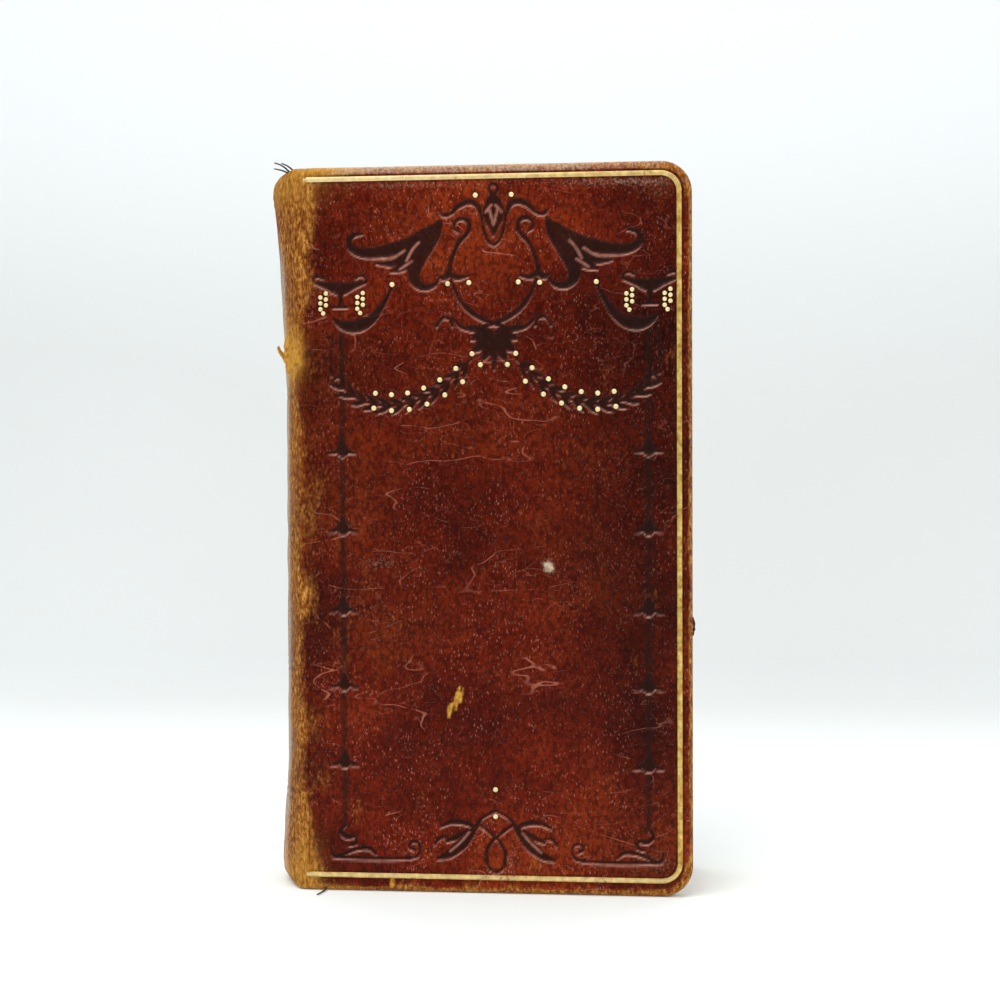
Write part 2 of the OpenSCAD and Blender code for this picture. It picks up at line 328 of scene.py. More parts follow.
def leather_material(name, dark, middle, warm, tan):
    """Old glossy calf: patchy colour, fine upright pebble grain, cracks, rubbed and tooled places, with painted
    shade in the grain's hollows and painted highlights: glints, lit lips and pale sheen.
    """
    m = Material(name, Specular_IOR_Level=0.07)
    patches = m.noise(24, 4, 0.55)
    mottle = m.noise(2.6, 5, 0.7)
    tone = m.blend(0.66, patches, mottle)
    colour = m.ramp(tone, [(0.38, dark), (0.5, middle), (0.64, warm)])

    pebble = m.fade(m.cells(0.6, "SMOOTH_F1", (1, 1, 1.5), 0.5), 0.05, 0.75, 1, 0)
    creases = m.noise(0.42, 3, 0.65, (1, 1, 1.7))
    grain = m.blend(0.5, pebble, creases)
    # Painted shade: the hollows of the grain darkened
    painted_hollow_shade = m.fade(grain, 0.3, 0.56, 0.55, 0)
    colour = m.mix(painted_hollow_shade, colour, HOLLOW_SHADE)
    # Painted highlights: small pinkish glints on the grain, in patches
    glint_zone = m.fade(m.noise(7, 3), 0.38, 0.64, 0.1, 1)
    dashes = m.fade(m.cells(0.8, "F1", (0.5, 1, 1.25)), 0.14, 0.34, 1, 0)
    glints = m.times(m.times(dashes, m.fade(m.noise(1.1, 3), 0.42, 0.54)), glint_zone)
    colour = m.mix(m.times(glints, 0.55), colour, GLINT)

    crack_zone = m.fade(m.noise(17, 3), 0.44, 0.6)
    breaks = m.fade(m.noise(3.5, 2), 0.42, 0.54)
    long_cracks = m.isoline(m.noise(12, 3, 0.35, (2.2, 1, 0.8)), 0.0005, 0.0042)
    short_cracks = m.isoline(m.noise(3.4, 2, 0.35, (1.6, 1, 0.7)), 0.002, 0.012)
    cracked = m.times(m.math("MAXIMUM", long_cracks, m.times(short_cracks, 0.38)), m.times(crack_zone, breaks))
    colour = m.mix(m.times(cracked, 0.62), colour, CRACK)
    colour = m.brighten(colour, m.plus(m.attribute("tone"), 0.93))

    wear = m.attribute("wear")
    streaks = m.noise(1, 5, 0.75, (1, 1, 1.8))
    rub = m.plus(wear, m.minus(m.blend(0.7, streaks, grain), 1.0))
    rubbed = m.times(m.fade(rub, -0.28, 0.36), m.fade(wear, 0.0, 0.25))
    tan_tone = m.ramp(m.noise(0.6, 5, 0.7, (0.8, 1, 1.8)), [(0.36, tan[0]), (0.5, tan[1]), (0.66, tan[2])])
    colour = m.mix(rubbed, colour, tan_tone)
    # Pale rubbed leather together with painted sheen and highlights, broken into speckles
    pale = m.attribute("pale")
    speckle = m.plus(pale, m.minus(m.noise(0.5, 4, 0.75), 0.8))
    colour = m.mix(m.fade(speckle, -0.25, 0.4), colour, PALE_RUB_AND_SHEEN)
    bared = m.times(m.attribute("scratch"), m.fade(m.noise(0.8, 4, 0.7), 0.34, 0.6, 0.3, 1))
    colour = m.mix(bared, colour, OCHRE)

    # Tooled places darkened, together with the painted shade beside the gold line
    tool = m.attribute("tool")
    colour = m.mix(m.times(tool, 0.9), colour, TOOLED_DARK)
    # Painted highlights on the lower lips of the tooled strokes and on the raised ribs
    lip = m.times(m.attribute("lip"), m.fade(m.noise(1.3, 3), 0.3, 0.6, 0.5, 0.95))
    colour = m.mix(lip, colour, LIT_LIP)

    rough = m.plus(m.fade(m.noise(1.1, 3), 0.3, 0.7, 0.3, 0.46), m.times(rubbed, 0.25))
    worn_grain = m.times(grain, m.fade(rubbed, 0, 1, 1, 0.5))
    normal = m.bump(worn_grain, 0.1)
    normal = m.bump(m.noise(0.16, 2), 0.02, normal)
    normal = m.bump(m.minus(1.0, cracked), 0.05, normal)
    return m.finish(colour, rough, normal)


def gold_material(name):
    m = Material(name, Specular_IOR_Level=0.4)
    wear = m.attribute("wear")
    flecks = m.blend(0.6, m.noise(0.9, 4, 0.7), m.noise(7, 2))
    worn = m.fade(m.plus(flecks, m.times(wear, 0.3)), 0.6, 0.72, 0, 0.75)
    tone = m.ramp(m.noise(1.2, 4, 0.65), [(0.32, (158, 112, 38)), (0.5, (204, 164, 76)), (0.66, (232, 200, 120))])
    # Painted highlight: cream where the pale attribute is set
    colour = m.mix(m.attribute("pale"), tone, (255, 238, 184))
    colour = m.mix(worn, colour, (128, 80, 34))
    rough = m.fade(m.noise(0.7, 3), 0.3, 0.7, 0.38, 0.52)
    return m.finish(colour, rough, m.bump(m.noise(0.35, 3), 0.02), 0.3)


def paper_material(name, tones, coords="rest", fibre=0.6):
    m = Material(name, coords, Specular_IOR_Level=0.25)
    foxing = m.fade(m.noise(5.5, 4, 0.7), 0.62, 0.78, 0, 0.5)
    colour = m.ramp(m.noise(24, 4, 0.6), [(0.35, tones[0]), (0.62, tones[1])])
    colour = m.mix(foxing, colour, (176, 132, 84))
    colour = m.mix(m.fade(m.noise(fibre, 3), 0.35, 0.65, 0.12, 0), colour, (150, 124, 88))
    return m.finish(colour, 0.85, m.bump(m.noise(fibre, 4), 0.02))


def gilt_edge_material():
    m = Material("gilt_edge", Specular_IOR_Level=0.5)
    worn = m.fade(m.noise(2.2, 5, 0.75, (1, 1, 3)), 0.5, 0.66)
    streak = m.noise(0.5, 3, 0.6, (1, 1, 8))
    gold = m.ramp(streak, [(0.35, (150, 104, 44)), (0.62, (222, 178, 96))])
    colour = m.mix(worn, gold, (186, 142, 84))
    metal = m.minus(0.8, m.times(worn, 0.6))
    return m.finish(colour, m.fade(streak, 0.3, 0.7, 0.28, 0.5), m.bump(streak, 0.03), metal)


def cloth_material(name, light, dark, pitch, coords="object"):
    """Open plain weave of threads about pitch apart."""
    m = Material(name, coords, Specular_IOR_Level=0.2)
    step = 2 * math.pi / pitch
    across = m.math("ABSOLUTE", m.math("SINE", m.times(m.axis("X"), step / 2)))
    along = m.math("ABSOLUTE", m.math("SINE", m.times(m.axis("Z"), step / 2)))
    weave = m.math("MAXIMUM", across, along)
    colour = m.mix(m.fade(weave, 0.55, 0.95), dark, light)
    colour = m.mix(m.fade(m.noise(4, 4), 0.4, 0.7, 0, 0.35), colour, (160, 132, 92))
    return m.finish(colour, 0.9, m.bump(weave, 0.08))


def board_material():
    m = Material("board", "object", Specular_IOR_Level=0.2)
    layers = m.noise(1.2, 4, 0.7, (1, 0.12, 1))
    colour = m.ramp(layers, [(0.35, (104, 86, 62)), (0.65, (158, 136, 102))])
    return m.finish(colour, 0.9, m.bump(m.noise(0.3, 4), 0.05))


def silk_material():
    """Silk wound in stripes over a cord, the stripes changing along the band."""
    m = Material("end_band_silk", "rest", Specular_IOR_Level=0.4, Sheen_Weight=0.3)
    stripe = m.math("SINE", m.times(m.attribute("along"), 2 * math.pi / 2.2))
    colour = m.mix(m.fade(stripe, -0.15, 0.15), (226, 208, 168), (150, 44, 30))
    colour = m.mix(m.fade(m.noise(1.5, 4), 0.45, 0.7, 0, 0.4), colour, (120, 84, 54))
    return m.finish(colour, 0.55, m.bump(m.noise(0.1, 2), 0.02))


def thread_material(name, tone, shade, coords="rest"):
    m = Material(name, coords, Specular_IOR_Level=0.3)
    twist = m.noise(0.3, 3, 0.6)
    return m.finish(m.ramp(twist, [(0.35, shade), (0.65, tone)]), 0.75, m.bump(twist, 0.03))


def floor_material():
    m = Material("studio_paper", "object", Specular_IOR_Level=0.1, Emission_Strength=0.06)
    # Painted shade and glow: the floor and the top of the wall are nearly white, the wall behind the book a little
    # greyer low down and lighter towards the sides, and a faint white glow lifts the shadows
    aside = m.fade(m.math("ABSOLUTE", m.axis("X")), 60, 260, 0, 0.3)
    wall = m.mix(m.math("MAXIMUM", m.fade(m.axis("Z"), 60, 260), aside), (214, 217, 216), (232, 236, 237))
    colour = m.mix(m.fade(m.axis("Y"), 60, 270), (246, 250, 248), wall)
    return m.finish(colour, 0.9, m.bump(m.noise(1.5, 2), 0.01))


TAN = ((90, 36, 8), (146, 84, 26), (206, 152, 74))
COVER_LEATHER = leather_material("cover_leather", (66, 9, 1), (94, 22, 4), (122, 42, 10), TAN)
SPINE_LEATHER = leather_material("spine_leather", (98, 40, 20), (136, 78, 42), (166, 112, 64), TAN)
GOLD = gold_material("gold_leaf")
PAGE = paper_material("page_paper", ((226, 212, 178), (240, 230, 204)))
GILT_EDGE = gilt_edge_material()
END_PAPER = paper_material("end_paper", ((222, 206, 170), (238, 228, 204)), "object")
FLYLEAF_PAPER = paper_material("flyleaf_paper", ((224, 208, 174), (240, 230, 206)))
SILK = silk_material()
DARK_THREAD = thread_material("dark_thread", (70, 62, 50), (34, 26, 18))

# ---------- The cover's surface ----------


def edge_distance(u, v, tail_extra=0.0):
    """Distance from a place on a cover to its head, fore-edge or tail, with round corners.

    With tail_extra the tail counts as that much further in, as it does for the gold line.
    """
    from_fore = COVER_W - u
    from_end = np.minimum(v - tail_extra, BOOK_H - v)
    round_one = CORNER_R - np.hypot(CORNER_R - from_fore, CORNER_R - from_end)
    in_corner = (from_fore < CORNER_R) & (from_end < CORNER_R)
    return np.where(in_corner, round_one, np.minimum(from_fore, from_end))


def edge_drop(d):
    """How far the padded surface lies behind the flat of the cover at a distance from its edge."""
    d = np.maximum(d, 0)
    return round_inset(d, EDGE_R) + 0.16 * (1 - smooth(d / 4.5))


def fore_edge_u(v):
    """The cover's width at a height, where its corners are round."""
    return COVER_W - round_inset(np.minimum(v, BOOK_H - v), CORNER_R)


# ---------- Tooling: strokes of (u, v, width), drawn on the left half and mirrored ----------

HALF = COVER_W / 2


def curve_points(stroke, step=0.3):
    """Points and half widths along a smooth curve through a stroke's points."""
    p = np.array(stroke, float)
    p = np.vstack([2 * p[0] - p[1], p, 2 * p[-1] - p[-2]])
    out = []
    for a, b, c, d in zip(p[:-3], p[1:-2], p[2:-1], p[3:]):
        n = max(2, int(np.hypot(*(c - b)[:2]) / step))
        t = np.linspace(0, 1, n, endpoint=False)[:, None]
        out.append(0.5 * (2 * b + (c - a) * t + (2 * a - 5 * b + 4 * c - d) * t ** 2
                          + (3 * b - a - 3 * c + d) * t ** 3))
    out = np.vstack(out + [p[-2:-1]])
    return out[:, :2], np.maximum(out[:, 2], 0.05) / 2


def stroke_distance(u, v, strokes, reach=1.4):
    """Signed distance from each place to the nearest stroke's side, negative inside it."""
    nearest = np.full(u.shape, reach)
    for stroke in strokes:
        path, half = curve_points(stroke)
        low = path.min(0) - reach - half.max()
        high = path.max(0) + reach + half.max()
        near = (u > low[0]) & (u < high[0]) & (v > low[1]) & (v < high[1])
        if not near.any():
            continue
        place = np.stack([u[near], v[near]], -1)
        best = np.full(len(place), reach)
        for a, b, ra, rb in zip(path[:-1], path[1:], half[:-1], half[1:]):
            ab = b - a
            t = np.clip(((place - a) @ ab) / max(ab @ ab, 1e-9), 0, 1)
            gap = np.hypot(*(place - a - t[:, None] * ab).T) - (ra + (rb - ra) * t)
            np.minimum(best, gap, out=best)
        nearest[near] = np.minimum(nearest[near], best)
    return nearest


def both_sides(strokes):
    """Strokes of the left half and their mirror images."""
    return strokes + [[(2 * HALF - u, v, w) for u, v, w in stroke] for stroke in strokes]


def with_width(width, *points):
    return [(u, v, width) for u, v in points]


def leaf(u, v, degrees, length, width):
    """A leaf that starts at a place and points in a direction."""
    du = math.cos(math.radians(degrees)) * length
    dv = math.sin(math.radians(degrees)) * length
    return [(u, v, 0.2), (u + 0.3 * du, v + 0.3 * dv, width * 0.8), (u + 0.62 * du, v + 0.62 * dv, width),
            (u + du, v + dv, 0.12)]


def ring(u, v, radius, width, start=0, end=360):
    angles = [math.radians(start + (end - start) * k / 8) for k in range(9)]
    return [(u + radius * math.cos(a), v + radius * math.sin(a), width) for a in angles]


def wing():
    """A wing with a broad hanging tip, three feathers, and an outer end that curls up."""
    return [
        [(25.3, 119.6, 1.2), (24.2, 117.6, 2.6), (22.6, 115.6, 3.3), (21.4, 113.3, 3.0), (20.7, 111, 2.3),
         (21, 109.3, 1.7), (22.5, 108.3, 1.2), (24.2, 108.6, 0.8), (25.1, 109.6, 0.3)],
        [(24.1, 118.2, 2.4), (21, 116.3, 2.7), (17.9, 115.3, 2.4), (14.7, 114.7, 2.0), (11.8, 114.5, 1.6),
         (9.8, 115.2, 1.3), (9, 116.5, 1.0), (9.8, 117.7, 0.8), (11.3, 118, 0.4)],
        [(21.9, 115.2, 2.4), (19.2, 113.4, 1.9), (16.5, 112.7, 1.3), (14, 112.7, 0.4)],
        [(21.2, 113.8, 2.0), (18.8, 112, 1.5), (16.6, 111.2, 0.5)],
    ]


def bowl():
    """A shallow hanging bowl with scrolled ends on a stem, over a crescent."""
    return [
        [(2.9, 109.3, 0.4), (5.2, 108.7, 1.2), (7.4, 108.2, 2.2), (9.6, 108.7, 1.2), (11.9, 109.3, 0.4)],
        [(7.4, 107.8, 1.6), (7.4, 106.8, 0.8), (7.4, 105.3, 0.5)],
        with_width(0.4, (2.8, 109.3), (2.5, 110), (3.3, 110.5), (4.3, 110.1)),
        with_width(0.4, (12, 109.3), (12.1, 110), (11.2, 110.6), (10.2, 110.1)),
        with_width(0.4, (6.1, 105), (8.7, 105)),
        [(6.1, 103, 0.4), (7.4, 101.9, 1.2), (9.4, 101.4, 2.0), (11.6, 101.8, 1.9), (13.6, 103.3, 1.4),
         (15.1, 105.4, 0.9), (16.3, 107.5, 0.5), (16.8, 108.5, 0.3)],
    ]


def centre_piece():
    """Curls, a shield and crossing stems at the middle of the head."""
    return [
        [(25.2, 121.9, 0.3), (26.2, 121, 0.6), (27.6, 121.4, 0.5), (28.7, 122.5, 0.8), (30.5, 123.3, 1.0),
         (32, 122.7, 0.9), (32.8, 120.8, 0.6), (33.2, 118.4, 0.5), (34, 116.4, 0.5), (35, 115.6, 0.45)],
        [(28.8, 118, 0.3), (28, 118.7, 0.5), (28.2, 119.9, 0.6), (29.4, 120.4, 0.7), (30.5, 119.8, 0.8),
         (30.7, 118.5, 0.7), (30, 117.4, 0.7), (28.9, 116.3, 0.8), (28.1, 114.8, 0.6), (27.3, 112.6, 0.8),
         (27, 110.6, 0.9)],
        [(27, 110.6, 1.2), (26, 109.9, 0.9), (25, 110.4, 0.3)],
        [(27, 110.6, 1.2), (28.6, 109.9, 0.8), (30.4, 110.2, 0.3)],
        [(27.4, 109.5, 0.4), (28.6, 106.6, 0.6), (30.3, 104.4, 0.8), (32.6, 102.7, 0.7), (34.8, 101.8, 0.6),
         (38, 100.9, 0.6), (40.4, 101, 0.6), (42, 102.4, 0.4), (42.4, 103.6, 0.3)],
        with_width(0.45, (24.8, 101.4), (25.8, 102.8), (27.1, 102.6), (27.6, 101.4)),
        leaf(35, 100.4, 200, 4.4, 1.7),
        leaf(35, 100, 222, 5, 1.9),
        leaf(35, 99.4, 244, 5, 1.6),
        leaf(34.4, 100.6, 176, 5.4, 1.1),
        [(35, 99, 0.6), (35, 96.4, 1.3), (35, 93.6, 0.3)],
    ]


def garland():
    """Pairs of leaves along a hanging stem that ends in a curl."""
    stem, _ = curve_points(with_width(0.3, (31, 95.5), (27, 91.5), (22, 88.5), (17, 87.3), (12, 88),
                                      (8.5, 90), (6.8, 92)), 0.25)
    lengths = np.concatenate([[0], np.cumsum(np.hypot(*np.diff(stem, axis=0).T))])
    strokes = []
    for s in np.arange(1.0, lengths[-1] - 1.0, 2.3):
        u, v = np.interp(s, lengths, stem[:, 0]), np.interp(s, lengths, stem[:, 1])
        ahead = np.interp(s + 0.3, lengths, stem[:, 0]) - u, np.interp(s + 0.3, lengths, stem[:, 1]) - v
        heading = math.degrees(math.atan2(ahead[1], ahead[0]))
        strokes += [leaf(u, v, heading + side * 27, 2.9, 0.75) for side in (-1, 1)]
    strokes.append([(u, v, 0.3) for u, v in stem[::4]])
    strokes.append(ring(6.9, 91.5, 0.9, 0.35, 60, 420))
    strokes.append(with_width(0.35, (5.7, 92.8), (5.6, 96), (5.9, 100)))
    strokes.append(with_width(0.35, (7.6, 93), (7.5, 96), (7.3, 99.6)))
    return strokes


STEM = ((HALF - 27.4, 100), (HALF - 27.2, 12))


def bell_flowers():
    """Bell flowers along the upright stem."""
    strokes = []
    for v in (79.5, 65.5, 51.2, 37.6, 23.6):
        u = np.interp(v, (STEM[1][1], STEM[0][1]), (STEM[1][0], STEM[0][0]))
        strokes.append([(u, v + 1.9, 0.3), (u, v + 0.6, 1.5), (u, v - 0.2, 2.2)])
        strokes += [[(u + side * 0.5, v, 0.7), (u + side * 1.4, v - 0.5, 0.6), (u + side * 2.6, v - 0.7, 0.25)]
                    for side in (-1, 1)]
    return strokes


def foot_corner():
    return [
        [(7.8, 12, 0.4), (7.0, 10.9, 0.6), (8, 9.9, 0.7), (9.6, 9.9, 0.5), (9.8, 8.8, 0.5), (8.6, 8.4, 0.4)],
        [(5.2, 7.9, 0.3), (5.4, 6.9, 0.5), (6.2, 6.3, 0.5), (9.5, 7.6, 0.5), (12, 7.9, 0.6), (13.4, 6.9, 0.35)],
        with_width(0.42, (6.2, 6.2), (13, 6.1), (19.6, 6.3), (21.2, 7.2), (21.2, 8.8), (20, 9.3), (19.4, 8.3),
                   (20.2, 7.8)),
    ]


def foot_centre():
    return [
        [(25, 12, 0.3), (27.3, 12.9, 0.7), (29.8, 12.7, 0.8), (31.3, 11.8, 0.4)],
        [(24.6, 6.3, 0.4), (26.5, 7, 1.3), (29, 9, 1.8), (31, 11.4, 1), (32.5, 13.6, 0.45), (35, 15, 0.4)],
        [(26.2, 9.4, 0.3), (28, 10.2, 0.9), (30, 11.4, 0.5)],
        [(24, 8.8, 0.3), (25, 10, 0.4), (26.4, 10, 0.3)],
        [(31.8, 12.6, 0.5), (33.8, 11.2, 0.5), (35, 10, 0.4)],
        [(34.9, 10.3, 0.4), (33.4, 7.8, 0.65), (33.6, 5, 0.55), (35, 3.9, 0.45)],
    ]


TOOLED = both_sides(wing() + bowl() + centre_piece() + garland() + bell_flowers() + foot_corner() + foot_centre())
TOOLED.append(ring(HALF, 125.6, 0.8, 0.5))
TOOLED.append([(HALF, 124.4, 1.0), (HALF, 121.6, 3.8), (HALF, 119.2, 2.0), (HALF, 117.4, 0.5)])
STEMS = both_sides([with_width(1.1, *STEM)])

# Raised ribs inside the wings, and veins in the leaves of the foot, which also carry a painted highlight
RIBS = both_sides([
    with_width(0.32, (21.6, 116.2), (20.4, 114.9), (19.4, 113)),
    with_width(0.32, (19, 114.8), (16.6, 113.4), (13.4, 113.3)),
    with_width(0.3, (20.3, 112.9), (18.2, 111.5)),
    with_width(0.3, (34.6, 122.6), (33.6, 121.4)),
    with_width(0.3, (35, 119.2), (34.2, 122)),
    with_width(0.28, (26.8, 7.5), (28.8, 9.3), (30.2, 11)),
])

# ---------- Wear of the cover ----------

# Places rubbed to the tan: u, v, radius along u, radius along v, strength
WORN_PLACES = [
    (0.6, 2.5, 3.6, 3.4, 0.75), (0.4, 9, 1.8, 8, 0.5), (37.5, 1.6, 2, 1.6, 0.6), (25, 0.8, 14, 1.2, 0.3),
    (55, 1, 12, 1.2, 0.3), (2.4, 122, 3.4, 9, 0.34), (-1, TEAR_V, 1.8, 4, 0.5), (2, 60, 1.6, 30, 0.1),
    (3, 128.6, 5, 1.4, 0.6), (7, 56, 7, 18, 0.12), (5, 30, 5, 14, 0.12), (12.5, 46, 5, 8, 0.12),
    (68.6, 66, 1.2, 40, 0.2),
]
# Pale places, rubbed grey, and the three near the head painted sheen below the gold line: u, v, radius along u,
# radius along v, strength
PALE_AND_SHEEN_PLACES = [
    (44.3, 58.9, 0.8, 0.55, 0.6), (45.1, 58.2, 0.55, 0.8, 0.55), (44.1, 57.9, 0.45, 0.4, 0.4),
    (58, 126.3, 14, 0.8, 0.18), (64, 124.5, 4, 1.6, 0.08), (20, 126.4, 16, 0.6, 0.14),
    (64, 6.2, 2.8, 1.8, 0.12), (14, 59.2, 4, 1.2, 0.12), (37.6, 5.4, 0.9, 2.6, 0.14),
]
# Places bared to a bright ochre: u, v, radius along u, radius along v, strength
OCHRE_PLACES = [
    (-1.2, TEAR_V, 1.7, 3.8, 0.85), (-2.5, 128, 6, 4, 0.45), (-1, 3.5, 3.4, 6, 0.5), (3, 0.6, 6, 0.6, 0.4),
    (5, 129.4, 5, 0.9, 0.55),
]
# Scuffs that bare the ochre under the colour
SCUFFS = [
    [(28.7, 37.1, 0.25), (28.2, 35.2, 0.8), (27.9, 33, 0.25)], [(29.3, 36.8, 0.15), (28.7, 34.5, 0.5)],
    [(27.4, 34.1, 0.3), (26.9, 33.2, 0.9), (26.7, 31.5, 0.25)], [(16.3, 1.2, 0.7), (16.3, 3, 0.6)],
]


# How deep each mark is pressed into the leather
TOOL_DEPTH, STEM_DEPTH, FRAME_DEPTH, GROOVE_DEPTH, PIT_DEPTH, SCUFF_DEPTH = 0.3, 0.12, 0.16, 0.09, 0.1, 0.05


def joint_wear(u, v):
    """The strip rubbed along the joint, whose edge wanders."""
    wander = 0.5 * waves(v, 0 * v, 33, 23) + 0.28 * waves(v, 0 * v, 35, 5)
    to_head, to_tail = rise(v, 100, 16), smooth((22 - v) / 12)
    strength = 0.54 + 0.16 * to_head + 0.16 * to_tail
    reach = -1.4 + 1.3 * to_head + 0.9 * to_tail + wander
    return strength * (1 - smooth((u - reach) / (2.6 + 1.8 * to_head)))


def spots(u, v, places):
    total = np.zeros(u.shape)
    for pu, pv, ru, rv, strength in places:
        total += strength * np.exp(-((u - pu) / ru) ** 2 - ((v - pv) / rv) ** 2)
    return total


def cover_finish(u, v, d, front=True):
    """Wear, paleness with painted sheen, bare places, and tone with painted light, of a cover's leather at each
    place.
    """
    from_fore, from_head = COVER_W - u, BOOK_H - v
    in_corner = smooth((9 - from_fore) / 3) * smooth((8 - np.minimum(v, from_head)) / 3)
    wear = 0.85 * fall(d, 0.32, 0.7) + 0.75 * in_corner * fall(d, 1.2, 0.7)
    wear += 0.7 * bump_at(v, 0.6, 0.5) + 0.4 * fall(from_head, 1.3, 0.4)
    wear += joint_wear(u, v) + 0.2 * (1 - smooth(u / 8)) + 0.16 * waves(u, v, 3, 9)
    head = fall(from_head, 1.25, 0.5) * rise(u, 2, 6) * rise(from_fore, 3, 3)
    # Pale wear with painted sheen along the head band, less towards the fore-edge, and a thin painted highlight
    # along the rim
    pale = 0.3 * head * (1 - 0.4 * rise(u, 46, 14)) + 0.16 * fall(d, 0.1, 0.5)
    bare = np.zeros(u.shape)
    if front:
        wear, pale, bare = (total + spots(u, v, places) for total, places in
                            ((wear, WORN_PLACES), (pale, PALE_AND_SHEEN_PLACES), (bare, OCHRE_PLACES)))
    # Broad tone: painted light makes it brighter towards the head, which faces the light from above, and a painted
    # highlight lifts the rounded rim; it is also darker towards the fore-edge and in a band beside the joint, and
    # brighter towards the foot, with random waves over all
    tone = 0.34 * bump_at(v, 124, 20) + 0.42 * bump_at(v, 12, 26) - 0.1 * fall(u, 6, 16)
    tone -= 0.22 * bump_at(u, 2.5, 2.5) * rise(v, 12, 10) * smooth((112 - v) / 10)
    tone += 0.1 * waves(u, v, 71, 26) - 0.48 * rise(u, 42, 22) + 0.5 * fall(d, 1.3, 0.5)
    return dict(wear=np.clip(wear, 0, 1), pale=np.clip(pale, 0, 1), scratch=np.clip(bare, 0, 1), tone=tone)


def cover_rows():
    ends = CORNER_R * (1 - np.cos(np.linspace(0, math.pi / 2, 23)))
    foot_detail, head_detail = 19, 80
    low = np.arange(CORNER_R + 0.25, foot_detail, 0.25)
    plain = np.arange(foot_detail, head_detail, 0.34)
    high = np.arange(head_detail, BOOK_H - CORNER_R - 0.1, 0.25)
    return np.concatenate([ends, low, plain, high, BOOK_H - ends[::-1]])


def cover_columns(first):
    flat = np.linspace(first, COVER_W - EDGE_R - 0.1, 232)
    rounded = COVER_W - EDGE_R + EDGE_R * np.sin(np.linspace(0.08, math.pi / 2, 8))
    return np.concatenate([flat, rounded])


# The cover's leather starts here, where the strip of leather over the joint ends
STRIP_END = 1.2


def groove_depth(d):
    """The gold line's groove, which runs round the three free edges."""
    return GROOVE_DEPTH * (1 - smooth((np.abs(d - FILLET_MID) - FILLET_W / 2) / 0.3))


def back_frame(d):
    """How strongly the plain blind frame inside the back's gold line is pressed."""
    line = 1 - smooth((np.abs(d - 5.6) - 0.15) / 0.3)
    thin = 1 - smooth((np.abs(d - 6.7) - 0.06) / 0.2)
    return np.maximum(line, 0.7 * thin)


def press_ornament(u, v, depth, tool, bare):
    """Press the ornament into the front. Returns depth, darkness, bare places, and the painted highlights on the
    lips and ribs.
    """
    for centre, half in islands("front_gold_dots"):
        pit = fall(np.hypot(u - centre[0] + X_JOINT, v - centre[2]) - half[0], 0, 0.35)
        depth += PIT_DEPTH * pit
        tool = np.maximum(tool, 0.7 * pit)
    gap = stroke_distance(u, v, TOOLED)
    rib = 1 - smooth((stroke_distance(u, v, RIBS, 0.6) + 0.1) / 0.3)
    pressed = smooth((0.16 - gap) / 0.42)
    depth += TOOL_DEPTH * pressed * (1 - 0.55 * rib) - 0.05 * bump_at(gap, 0.42, 0.2)
    tool = np.maximum(tool, smooth((0.22 - gap) / 0.4) * (1 - 0.6 * rib))
    # Painted highlight along the lip just below each stroke, and on the ribs
    below = smooth((0.1 - stroke_distance(u, v + 0.42, TOOLED)) / 0.3)
    lip = np.maximum(below * (1 - smooth((0.3 - gap) / 0.25)), 0.55 * rib)
    scuffed = 1 - smooth((stroke_distance(u, v, SCUFFS, 0.6) + 0.1) / 0.25)
    depth += SCUFF_DEPTH * scuffed
    stem = smooth((0.3 - stroke_distance(u, v, STEMS)) / 0.6)
    depth += STEM_DEPTH * stem
    return depth, np.maximum(tool, 0.7 * stem), np.maximum(bare, scuffed), lip


def inward_from_rim(u, v):
    """Directions along u and v that point into a cover from places on its free edges."""
    to_u = COVER_W - CORNER_R - u
    to_v = np.where(v < BOOK_H / 2, CORNER_R - v, BOOK_H - CORNER_R - v)
    at_corner = (to_u < 0) & (np.minimum(v, BOOK_H - v) < CORNER_R)
    at_end = to_u >= 0
    inward = np.stack([np.where(at_corner, to_u, np.where(at_end, 0, -1)),
                       np.where(at_corner | at_end, to_v, 0)], -1)
    return inward / np.linalg.norm(inward, axis=1, keepdims=True)


# Sections of the leather from a cover's rim: down the side, round the inner edge, along the turn-in, and back under
# it to the board, as the distance in from the rim and the distance from the middle of the book
TURN_IN = [
    (0, 11.2), (0, 10.55), (0.1, 10.22), (0.3, 10.05), (0.6, Y_IN), (2.8, Y_IN), (TURN_IN_W - 0.15, Y_IN),
    (TURN_IN_W - 0.03, Y_IN + 0.1), (TURN_IN_W - 0.03, Y_IN + 0.28), (LEATHER_T, Y_IN + 0.29),
    (LEATHER_T, Y_OUT - LEATHER_T),
]


